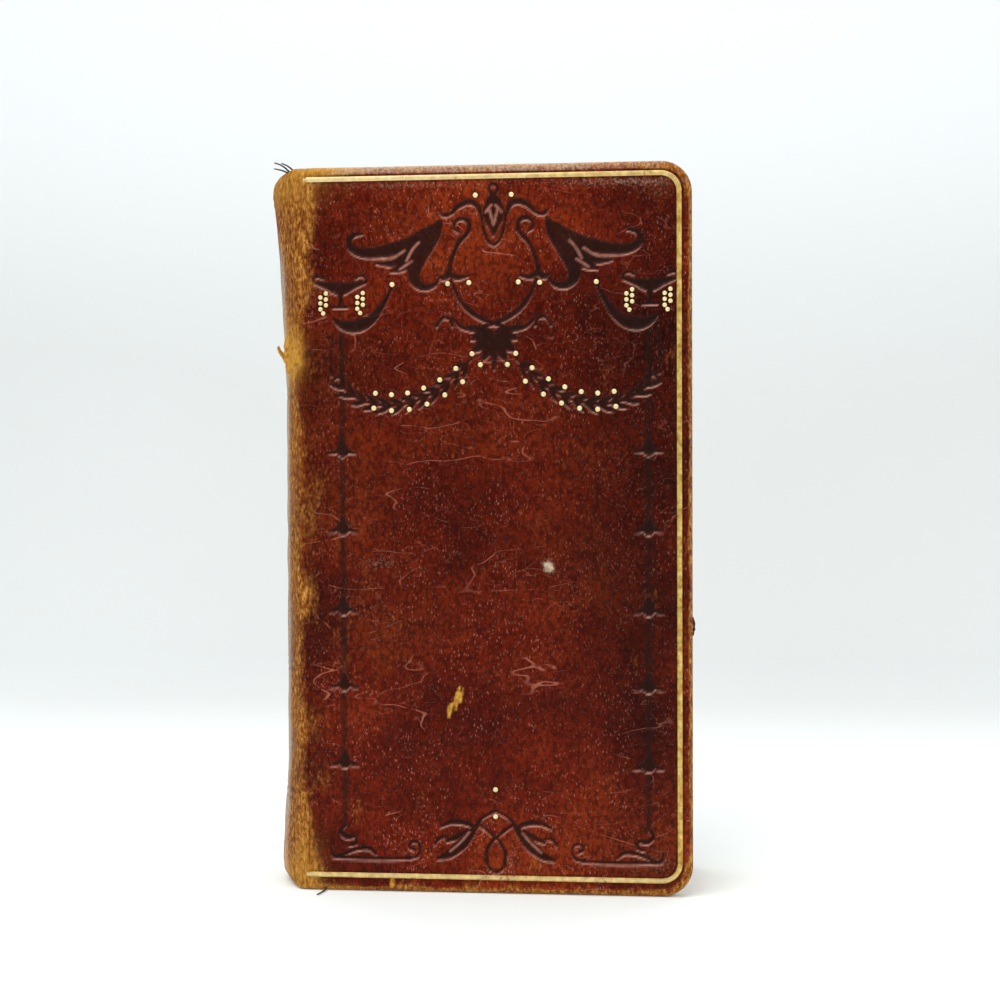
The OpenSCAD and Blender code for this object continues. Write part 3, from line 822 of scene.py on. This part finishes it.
def cover_leather(ornament):
    """The leather of a cover: tooled outside, padded edges, and its turn-in round the board."""
    v = cover_rows()
    t = (cover_columns(STRIP_END) - STRIP_END) / (COVER_W - STRIP_END)
    v, t = np.meshgrid(v, t, indexing="ij")
    u = STRIP_END + t * (fore_edge_u(v) - STRIP_END)
    rows, cols = u.shape
    d, to_line = edge_distance(u, v), edge_distance(u, v, FILLET_TAIL_EXTRA)
    depth = edge_drop(d) + groove_depth(to_line) * smooth(u / 1.5)
    # Painted shade: a thin dark line along each side of the gold line's groove
    tool = 0.5 * bump_at(np.abs(to_line - FILLET_MID), 0.62, 0.16)
    lip = np.zeros(u.shape)
    layers = cover_finish(u, v, d, ornament)
    if ornament:
        depth, tool, layers["scratch"], lip = press_ornament(u, v, depth, tool, layers["scratch"])
    else:
        frame_line = back_frame(to_line)
        depth += FRAME_DEPTH * frame_line
        tool = np.maximum(tool, 0.7 * frame_line)
    depth += 0.035 * (waves(u, v, 5, 14) + 1.5) * rise(d, 1, 4)
    y = np.minimum(-Y_OUT + depth, -Y_OUT + EDGE_R + 0.15)
    verts = [np.stack([X_JOINT + u, y, v], -1).reshape(-1, 3)]
    faces = [grid_quads(rows, cols)]

    index = np.arange(rows * cols).reshape(rows, cols)
    loop = np.concatenate([index[0], index[1:, -1], index[-1, -2::-1]])
    rim = verts[0][loop]
    inward = inward_from_rim(u.ravel()[loop], v.ravel()[loop])
    last, count = loop, rows * cols
    for inset, back in TURN_IN:
        verts.append(np.stack([rim[:, 0] + inward[:, 0] * inset, np.full(len(rim), -back),
                               rim[:, 2] + inward[:, 1] * inset], -1))
        new = count + np.arange(len(rim))
        faces.append(np.stack([last[:-1], new[:-1], new[1:], last[1:]], -1))
        last = new
        count += len(rim)
    verts = np.vstack(verts)
    all_faces = [face for block in faces for face in block.tolist()]
    all_faces.append(last.tolist())
    starts = rows * cols + len(rim) * np.arange(len(TURN_IN))
    all_faces.append(np.concatenate([index[:, 0], starts + len(rim) - 1, starts[::-1]]).tolist())

    layers.update(tool=tool, lip=lip)
    extra = count - rows * cols
    for key, values in layers.items():
        side = np.zeros(extra) if key in ("tool", "lip") else np.tile(values.ravel()[loop], len(TURN_IN)) * 0.8
        layers[key] = np.concatenate([values.ravel(), side])
    return verts, all_faces, layers


def place_cover(name, body, node, ornament):
    verts, faces, layers = cover_leather(ornament)
    if body == "back_cover":
        verts, faces = mirrored(verts, faces)
    piece = add_piece(name, verts, faces, [COVER_LEATHER], **layers)
    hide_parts(node)
    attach(piece, body)


# ---------- Gold line and dots ----------


def fillet(name, body, node, mirror):
    """A slightly domed gold line along tail, fore-edge and head."""
    radius = CORNER_R - FILLET_MID
    z0 = FILLET_TAIL_EXTRA
    x1, z1 = COVER_W - CORNER_R, BOOK_H - CORNER_R
    turn = np.linspace(0, math.pi / 2, 14)
    straight = np.linspace(0, 1, 60)[:, None]
    tail = np.array([0.7, z0 + FILLET_MID]) + straight * np.array([x1 - 0.7, 0])
    fore = np.array([x1 + radius, z0 + CORNER_R]) + straight * np.array([0, z1 - z0 - CORNER_R])
    head = np.array([x1, BOOK_H - FILLET_MID]) + straight * np.array([0.7 - x1, 0])
    low = np.stack([x1 + radius * np.sin(turn), z0 + CORNER_R - radius * np.cos(turn)], -1)
    high = np.stack([x1 + radius * np.cos(turn), z1 + radius * np.sin(turn)], -1)
    path = np.vstack([tail[:-1], low[:-1], fore[:-1], high[:-1], head])
    tangent = np.gradient(path, axis=0)
    tangent /= np.linalg.norm(tangent, axis=1, keepdims=True)
    outward = np.stack([tangent[:, 1], -tangent[:, 0]], -1)
    across = np.array([-1, -0.8, -0.3, 0.3, 0.8, 1])
    place = path[:, None] + outward[:, None] * (across * FILLET_W / 2)[None, :, None]
    u, v = place[..., 0], place[..., 1]
    d = edge_distance(u, v)
    swell = 0.1 * (1 - across ** 4)[None] * (1 + 0.25 * waves(u, v, 21, 6))
    top = np.maximum(-Y_OUT + edge_drop(d) + 0.085 - swell, -Y_OUT - 0.02)
    outer = np.stack([X_JOINT + u, top, v], -1)
    inner = outer + [0, 0.12, 0]
    verts = np.concatenate([outer, inner[:, ::-1]], 1).reshape(-1, 3)
    faces = tube_faces(len(path), 2 * len(across))
    at_head, at_tail = smooth((v - BOOK_H + 6) / 3), smooth((5 - v) / 2)
    wear = 0.3 * bump_at(u, 37.5, 1.5) * at_tail + 0.1 * at_head + 0.15 * at_tail
    # Painted highlight: paler along the head, less towards the fore-edge, and along the middle of the line at the
    # tail
    pale = 0.5 * at_head * (1 - 0.6 * rise(u, 20, 40)) + (0.12 + 0.3 * (np.abs(across) < 0.5)) * at_tail
    layers = {key: np.concatenate([values, values[:, ::-1]], 1) for key, values in
              (("wear", wear), ("pale", pale))}
    if mirror:
        verts, faces = mirrored(verts, faces)
    piece = add_piece(name, verts, faces, [GOLD], **layers)
    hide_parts(node)
    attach(piece, body)


def islands(node):
    """Centre and half size of each separate solid in a CAD node, in millimetres."""
    mesh = frame["nodes"][node].data
    points = np.array([vert.co for vert in mesh.vertices]) / MM
    parent = list(range(len(points)))

    def root(i):
        while parent[i] != i:
            parent[i] = parent[parent[i]]
            i = parent[i]
        return i

    same = {}
    for i, point in enumerate(np.round(points, 3).tolist()):
        key = tuple(point)
        if key in same:
            parent[root(i)] = root(same[key])
        same[key] = i
    for edge in mesh.edges:
        parent[root(edge.vertices[0])] = root(edge.vertices[1])
    groups = {}
    for i in range(len(points)):
        groups.setdefault(root(i), []).append(i)
    boxes = [(points[members].min(0), points[members].max(0)) for members in groups.values()]
    return [((low + high) / 2, (high - low) / 2) for low, high in boxes]


# Rings of a gold dot, from its foot up: share of its radius, and height
DOT_RINGS = ((1, -0.05), (1, 0.07), (0.86, 0.15), (0.55, 0.2))
DOT_TOP = 0.215


def gold_dots(sides=14):
    """Each dot as a small dome in a shallow dark pit."""
    verts, faces = [], []
    for centre, half in islands("front_gold_dots"):
        start = len(verts)
        u, v = centre[0] - X_JOINT, centre[2]
        base = -Y_OUT + float(edge_drop(edge_distance(np.array(u), np.array(v)))) + 0.06
        for radius, height in DOT_RINGS:
            for k in range(sides):
                a = 2 * math.pi * k / sides
                verts.append([centre[0] + half[0] * radius * math.cos(a), base - height,
                              v + half[0] * radius * math.sin(a)])
        verts.append([centre[0], base - DOT_TOP, v])
        faces += (start + grid_quads(len(DOT_RINGS), sides, close_cols=True)).tolist()
        top = start + (len(DOT_RINGS) - 1) * sides
        faces += [[top + k, top + (k + 1) % sides, len(verts) - 1] for k in range(sides)]
        faces.append([start + k for k in range(sides)][::-1])
    # Painted highlight: each dot pale cream
    piece = add_piece("front_cover_gold_dots", verts, faces, [GOLD], pale=np.full(len(verts), 0.8))
    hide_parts("front_gold_dots")
    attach(piece, "front_cover")


# ---------- Spine and joints ----------

JOINT_GAP = 0.15
SPINE_T = 0.8
SPINE_SAG = 4.9
TAIL_SAG = 6
HEAD_SAG = -spine_low[0] + X_JOINT
CAP_R = 3.2
# The spine piece ends a little inside the outer faces of the covers, and the joint strips go on from there
SPINE_HALF_W = Y_OUT - 1.6


def sag_at(z):
    """How far the spine stands out behind the joints at a height."""
    flare = np.clip((z - 0.7 * BOOK_H) / (0.27 * BOOK_H), 0, 1)
    flare = flare * (0.72 + 0.28 * flare ** 3)
    spread = smooth((0.2 * BOOK_H - z) / (0.17 * BOOK_H))
    cap = round_inset(np.clip(np.minimum(z, BOOK_H - z), 0, CAP_R), CAP_R)
    return SPINE_SAG + (HEAD_SAG - SPINE_SAG) * flare + (TAIL_SAG - SPINE_SAG) * spread - cap - JOINT_GAP


def spine_x(y, z, shrink=0.0):
    """The spine's surface, or one that lies shrink inside it."""
    w = Y_OUT - shrink
    s = sag_at(z) - shrink
    r = (w * w + s * s) / (2 * s)
    return X_JOINT - JOINT_GAP - (np.sqrt(np.maximum(r * r - y * y, 0)) - (r - s))


def shell_loop(step=0.5, lip=0.4):
    """Heights and depths through the leather round a closed strip: outside, head, inside, tail."""
    ends = CAP_R * (1 - np.cos(np.linspace(0.35, math.pi / 2, 8)))
    plain = np.arange(CAP_R + 0.4, BOOK_H - CAP_R - 0.3, step)
    outer = np.concatenate([ends[:-1] + lip * 0.2, plain, (BOOK_H - ends[:-1] - lip * 0.2)[::-1]])
    inner = np.linspace(BOOK_H - 1.5, 1.5, 40)
    head = [(BOOK_H - 0.06, 0.2), (BOOK_H, 0.5), (BOOK_H - 0.1, 0.8)]
    tail = [(0.1, 0.8), (0.0, 0.5), (0.06, 0.2)]
    loop = [(z, 0.0) for z in outer] + head + [(z, 1.0) for z in inner] + tail
    return np.array(loop)


def close_shell(rows, cols):
    faces = grid_quads(rows, cols, close_rows=True).tolist()
    first = np.arange(rows) * cols
    faces.append(first.tolist())
    faces.append((first + cols - 1)[::-1].tolist())
    return faces


def spine_wear(y, z):
    side = np.abs(y) / Y_OUT
    wear = 0.36 + 0.4 * rise(z, 108, 18) + 0.36 * smooth((18 - z) / 16) + 0.5 * rise(side, 0.4, 0.5)
    return np.clip(wear + 0.2 * waves(z * 0.5, y, 31, 8), 0, 1)


def spine_piece():
    loop = shell_loop()
    station = np.linspace(-1, 1, 73)
    z, s = np.meshgrid(loop[:, 0], station, indexing="ij")
    f = np.repeat(loop[:, 1:], len(station), 1)
    shrink = SPINE_T * f
    y = s * SPINE_HALF_W * (1 - shrink / Y_OUT)
    x = spine_x(y, z, shrink)
    outside = 1 - smooth(f * 2)
    # Pairs of blind lines, worn faint, as on plain bindings of this kind
    lines = sum(bump_at(z, centre + side * 0.7, 0.28) for centre in BOOK_H * np.array([0.13, 0.31, 0.5, 0.69])
                for side in (-1, 1))
    rough_ends = rise(z, 121, 6) + 0.6 * smooth((8 - z) / 6)
    dents = 0.05 * waves(z, y, 41, 10) + 0.11 * rough_ends * waves(z * 1.3, y, 43, 2.6)
    x = x + outside * (0.1 * lines + 0.06 + dents)
    verts = np.stack([x, y, z], -1).reshape(-1, 3)
    faces = close_shell(len(loop), len(station))
    wear = np.where(f < 0.9, spine_wear(y, z), 0.5)
    # Painted sheen: faintly pale over the spine and paler in a band towards each side, fading out towards the head
    pale = 0.14 + 0.26 * bump_at(np.abs(y), 7.4, 4)
    pale = pale * fall(np.abs(y), 7.2, 3.4) * smooth((124 - z) / 14)
    bare = 0.45 * rise(z, 122, 6) + 0.4 * smooth((9 - z) / 6)
    bare = bare + 0.85 * bump_at(z, TEAR_V, 5) * smooth((-5.6 - y) / 2)
    piece = add_piece("spine_leather_skin", verts, faces, [SPINE_LEATHER], wear=wear, pale=pale,
                      scratch=np.clip(bare, 0, 1), tool=0.5 * lines * outside)
    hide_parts("spine_leather")
    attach(piece, "spine")


def joint_strip(side):
    """The leather between the spine and a cover, in one curve with both."""
    loop = shell_loop()
    t = np.linspace(0, 1, 19)
    z, t = np.meshgrid(loop[:, 0], t, indexing="ij")
    f = np.repeat(loop[:, 1:], z.shape[1], 1)
    y0 = SPINE_HALF_W
    x0 = spine_x(np.full(z.shape, y0), z)
    slope = (spine_x(np.full(z.shape, y0 + 0.01), z) - x0) / 0.01
    corner = x0 + slope * (Y_OUT - y0)
    end = X_JOINT + STRIP_END
    x = (1 - t) ** 2 * x0 + 2 * t * (1 - t) * corner + t ** 2 * end
    y = (1 - t) ** 2 * y0 + (1 - (1 - t) ** 2) * Y_OUT
    dx = 2 * (1 - t) * (corner - x0) + 2 * t * (end - corner)
    dy = 2 * (1 - t) * (Y_OUT - y0)
    length = np.hypot(dx, dy)
    from_end = np.minimum(z, BOOK_H - z)
    drop = edge_drop(from_end) * smooth(t * 1.4)
    thick = 0.6 + (0.4 + 1.2 * t) * smooth((3 - from_end) / 2.4)
    rough = 0.05 * waves(z * 0.7, t * 3, 51, 3) * (1 - smooth(f * 2)) * np.sin(math.pi * t)
    inward = drop + thick * f + rough
    x, y = x + dy / length * inward, y - dx / length * inward
    u = x - X_JOINT
    layers = cover_finish(u, z, from_end, side == "front")
    verts = np.stack([x, -y, z], -1).reshape(-1, 3)
    faces = close_shell(len(loop), z.shape[1])
    if side == "back":
        verts, faces = mirrored(verts, faces)
    piece = add_piece(f"{side}_joint_leather", verts, faces, [COVER_LEATHER], **layers)
    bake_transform(piece)


def sliver(name, path, across, width, thick, body, material, bare):
    """A tapering strip of torn leather along a path."""
    path = np.asarray(path, float)
    across = np.array(across, float) / np.linalg.norm(across)
    tangent = np.gradient(path, axis=0)
    through = np.cross(tangent, across)
    through /= np.linalg.norm(through, axis=1, keepdims=True)
    n, sides = len(path), 10
    size = np.sin(math.pi * (0.12 + 0.83 * np.linspace(0, 1, n))) ** 0.6
    turn = np.linspace(0, 2 * math.pi, sides, endpoint=False)
    ragged = 1 + 0.22 * waves(path[:, 2], path[:, 0], 61, 0.8)
    oval = (width / 2 * np.cos(turn)[None, :, None] * across
            + thick / 2 * np.sin(turn)[None, :, None] * through[:, None])
    verts = path[:, None] + (size * ragged)[:, None, None] * oval
    piece = add_piece(name, verts.reshape(-1, 3), tube_faces(n, sides), [material],
                      wear=np.full(n * sides, 0.35 + 0.55 * bare), scratch=np.full(n * sides, bare))
    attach(piece, body)


def torn_slivers():
    """A strip torn up beside the spine, and a splinter of leather along the front cover's fore-edge."""
    z = np.linspace(95.4, 98.4, 12)
    out = 0.15 + 1.35 * rise(z, 95.6, 2.6)
    y = -7.4 - 0.25 * (z - 96)
    sliver("spine_torn_strip", np.stack([spine_x(y, z) - out, y, z], -1), (0.5, 1, 0), 1.5, 0.55, "spine",
           SPINE_LEATHER, 0.9)
    z = np.linspace(93.4, 100.4, 14)
    y = np.full(14, -8.9)
    bulge = 0.25 * np.sin(math.pi * (z - 93.4) / 7)
    sliver("spine_lifted_edge", np.stack([spine_x(y, z) - bulge, y, z], -1), (0.8, -0.6, 0), 1.7, 0.55, "spine",
           SPINE_LEATHER, 0.9)
    z = np.linspace(46.3, 49.6, 10)
    bow = 0.04 + 0.2 * np.sin(math.pi * (z - 46.3) / 3.3)
    sliver("fore_edge_splinter", np.stack([X_FORE + bow, np.full(10, -11.4), z], -1), (0, 1, 0), 1.3, 0.45,
           "front_cover", COVER_LEATHER, 0)


def loose_threads():
    """Short dark broken threads at the head of the spine, and one at the tail."""
    head = BOOK_H - 0.9
    threads = [
        ("head_thread_1", (-33.2, -9.8, head), (-3.2, -0.6, 2.2), (0, 0, 0.45)),
        ("head_thread_2", (-33.2, -9.8, head), (-3.2, -0.9, 1.1), (0, 0, 0.2)),
        ("head_thread_3", (-32.4, -10.6, head + 0.2), (-2.6, -0.4, 1.8), (0, 0, 0.3)),
        ("tail_thread", (-27.2, -12.4, 0.45), (-0.8, -4.2, -0.28), (0.3, 0, 0)),
    ]
    for name, start, end, bend in threads:
        t = np.linspace(0, 1, 12)[:, None]
        path = np.array(start) + t * np.array(end) + np.sin(math.pi * t) * np.array(bend)
        verts, faces = tube(path, np.linspace(0.2, 0.11, 12), 6)
        piece = add_piece(name, verts, faces, [DARK_THREAD])
        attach(piece, "front_cover" if name == "tail_thread" else "spine")


# ---------- Leaves ----------


# The thickness of a whole gathering near its fold, and how much of its pitch a leaf fills
FLEX_T, LEAF_SHARE = 0.2, 0.82
PAGE_CORNER_R = 4.5


def leaf_sheet(x1, y, thick, z0, z1, stations):
    """A leaf: a thin plate with round fore-edge corners. y and thick are functions of x."""
    arc = x1 - PAGE_CORNER_R + PAGE_CORNER_R * np.sin(np.linspace(0, math.pi / 2, 9))
    x = np.concatenate([stations, [x for x in arc if x > stations[-1] + 0.01]])
    inset = round_inset(x1 - x, PAGE_CORNER_R)
    half = thick(x) / 2
    middle = y(x)
    low, high = z0 + inset, z1 - inset
    corners = [(middle - half, low), (middle - half, high), (middle + half, high), (middle + half, low)]
    verts = np.stack([np.stack([x, side, end], -1) for side, end in corners], 1).reshape(-1, 3)
    # The two broad sides, and the fold's end, are paper. The head, tail and fore-edge are gilt
    return verts, tube_faces(len(x), 4), [0, 1] * (2 * len(x) - 1)


def gathering_leaves(number, leaves=12):
    """One gathering as separate leaves, which lie close together near the fold."""
    node = f"gathering_{number:02d}"
    low, high = box_mm(node)
    joint = joints[f"{node}_turn"]
    fold_x, centre = joint["pos_m"][0] / MM, joint["pos_m"][1] / MM
    full = high[1] - low[1]
    thin_share = FLEX_T / full
    rng = np.random.default_rng(100 + number)

    def share(x):
        return thin_share + (1 - thin_share) * np.clip((x - fold_x - 5) / 3, 0, 1)

    stations = np.concatenate([np.linspace(fold_x - 0.1, fold_x + 1.2, 7),
                               [fold_x + 3, fold_x + 5, fold_x + 6.5, fold_x + 8, 0, 20]])
    verts, faces, slots = [], [], []
    pitch = full / leaves
    for k in range(leaves):
        offset = (k - (leaves - 1) / 2) * pitch
        x1 = high[0] - rng.uniform(0, 0.07)
        z0, z1 = low[2] + rng.uniform(0, 0.06), high[2] - rng.uniform(0, 0.06)
        new_verts, new_faces, new_slots = leaf_sheet(
            x1, lambda x: centre + offset * share(x), lambda x: LEAF_SHARE * pitch * share(x), z0, z1, stations)
        faces += [[i + len(verts) for i in face] for face in new_faces]
        verts += new_verts.tolist()
        slots += new_slots
    piece = add_piece(f"{node}_leaves", verts, faces, [PAGE, GILT_EDGE], False, slots)
    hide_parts(node)
    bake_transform(piece)


def flyleaf(side):
    node = f"{side}_flyleaf"
    low, high = box_mm(node)
    fold_x = joints[f"{node}_turn"]["pos_m"][0] / MM
    middle = (low[1] + high[1]) / 2
    thick = high[1] - low[1]
    stations = np.concatenate([np.linspace(fold_x, fold_x + 1.2, 7), [-25, -15, 0, 15, 28]])
    verts, faces, slots = leaf_sheet(high[0], lambda x: middle + 0 * x, lambda x: thick + 0 * x,
                                     low[2], high[2], stations)
    piece = add_piece(f"{side}_flyleaf_sheet", verts, faces, [FLYLEAF_PAPER, GILT_EDGE], False, slots)
    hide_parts(node)
    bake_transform(piece)


SILK_PITCH = 0.34


def end_band(node, sides=14):
    """Silk wound over a cord along the rounded back."""
    low, high = box_mm(node)
    radius = (high[2] - low[2]) / 2
    half_w = (high[1] - low[1]) / 2 - radius * 0.3
    back_x, front_x = low[0] + radius, high[0] - radius
    y = np.linspace(-half_w, half_w, 300)
    sag = front_x - back_x
    r = (half_w ** 2 + sag ** 2) / (2 * sag)
    x = back_x + r - np.sqrt(r * r - y * y)
    path = np.stack([x, y, np.full(len(y), (low[2] + high[2]) / 2)], -1)
    along = y + half_w
    wound = radius * (0.9 + 0.1 * np.abs(np.sin(along * math.pi / SILK_PITCH)))
    verts, faces = tube(path, wound, sides)
    piece = add_piece(f"{node}_silk", verts, faces, [SILK], along=np.repeat(along, sides))
    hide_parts(node)
    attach(piece, "spine")


# ---------- CAD pieces that keep their shape ----------


def finish_cad_pieces():
    finishes = {
        "board": board_material(),
        "lining_paper": paper_material("lining_paper", ((176, 152, 112), (206, 184, 144)), "object"),
        "mull_cloth": cloth_material("mull_cloth", (214, 204, 178), (120, 100, 70), 1.1),
        "tape_cloth": cloth_material("tape_cloth", (226, 216, 190), (170, 152, 116), 0.5),
        "thread": thread_material("thread", (232, 220, 190), (176, 152, 112), "object"),
        "end_paper": END_PAPER,
        "page_paper": paper_material("fold_paper", ((214, 196, 156), (236, 224, 194)), "object"),
    }
    for subpart in frame["record"]["subparts"]:
        node = frame["nodes"][subpart["node"]]
        if subpart["material_slot"] in finishes and not node.hide_render:
            node.data.materials.clear()
            node.data.materials.append(finishes[subpart["material_slot"]])


# ---------- Studio ----------


def sweep():
    """A pale floor that curves up into a wall behind the book."""
    floor_end, wall_top, radius = 360, 1500, 160
    angles = np.linspace(0, math.pi / 2, 17)
    profile = [(-900, 0)]
    profile += [(floor_end + radius * math.sin(a), radius * (1 - math.cos(a))) for a in angles]
    profile.append((floor_end + radius, wall_top))
    half_w = 1200
    verts = [(x, y, z) for y, z in profile for x in (-half_w, half_w)]
    faces = [[2 * i, 2 * i + 1, 2 * i + 3, 2 * i + 2] for i in range(len(profile) - 1)]
    add_piece("studio_sweep", verts, faces, [floor_material()])


def area_light(name, place, target, size, power, colour=(1, 1, 1)):
    data = bpy.data.lights.new(name, "AREA")
    data.shape = "RECTANGLE"
    data.size, data.size_y = size
    data.energy = power
    data.color = colour
    light = bpy.data.objects.new(name, data)
    light.location = place
    aim = np.array(target) - np.array(place)
    light.rotation_euler = (math.atan2(math.hypot(aim[0], aim[1]), -aim[2]), 0,
                            math.atan2(aim[1], aim[0]) - math.pi / 2)
    bpy.context.scene.collection.objects.link(light)


def studio():
    sweep()
    world = bpy.data.worlds.new("studio_air")
    world.use_nodes = True
    world.node_tree.nodes["Background"].inputs["Color"].default_value = (0.93, 0.97, 1, 1)
    world.node_tree.nodes["Background"].inputs["Strength"].default_value = 0.2
    bpy.context.scene.world = world
    area_light("key", (-0.25, -0.5, 0.75), (0, 0, 0.06), (0.7, 0.5), 4.6, (1, 0.99, 0.97))
    area_light("fill", (0.55, -0.45, 0.45), (0, 0, 0.06), (0.5, 0.6), 1.8)
    area_light("top", (0.0, 0.05, 0.9), (0, 0.02, 0), (0.8, 0.6), 3.2)
    area_light("wall_wash", (-0.15, 0, 0.75), (-0.12, 0.55, 0.4), (1.2, 0.3), 1.5, (0.96, 0.99, 1))
    bpy.context.scene.view_settings.view_transform = "Standard"

    data = bpy.data.cameras.new("camera")
    data.sensor_width = 36
    data.lens = 65.03
    data.clip_start = 0.01
    camera = bpy.data.objects.new("camera", data)
    camera.location = (0.0382, -0.3319, 0.0764)
    camera.rotation_euler = [math.radians(angle) for angle in (88.92, 0.216, 6.0)]
    bpy.context.scene.collection.objects.link(camera)
    bpy.context.scene.camera = camera


GATHERINGS = 16

studio()
place_cover("front_cover_leather", "front_cover", "front_leather", True)
place_cover("back_cover_leather", "back_cover", "back_leather", False)
fillet("front_cover_gold_line", "front_cover", "front_gold_fillet", False)
fillet("back_cover_gold_line", "back_cover", "back_gold_fillet", True)
gold_dots()
spine_piece()
for side in ("front", "back"):
    joint_strip(side)
    flyleaf(side)
torn_slivers()
loose_threads()
for number in range(1, GATHERINGS + 1):
    gathering_leaves(number)
end_band("head_band")
end_band("tail_band")
finish_cad_pieces()
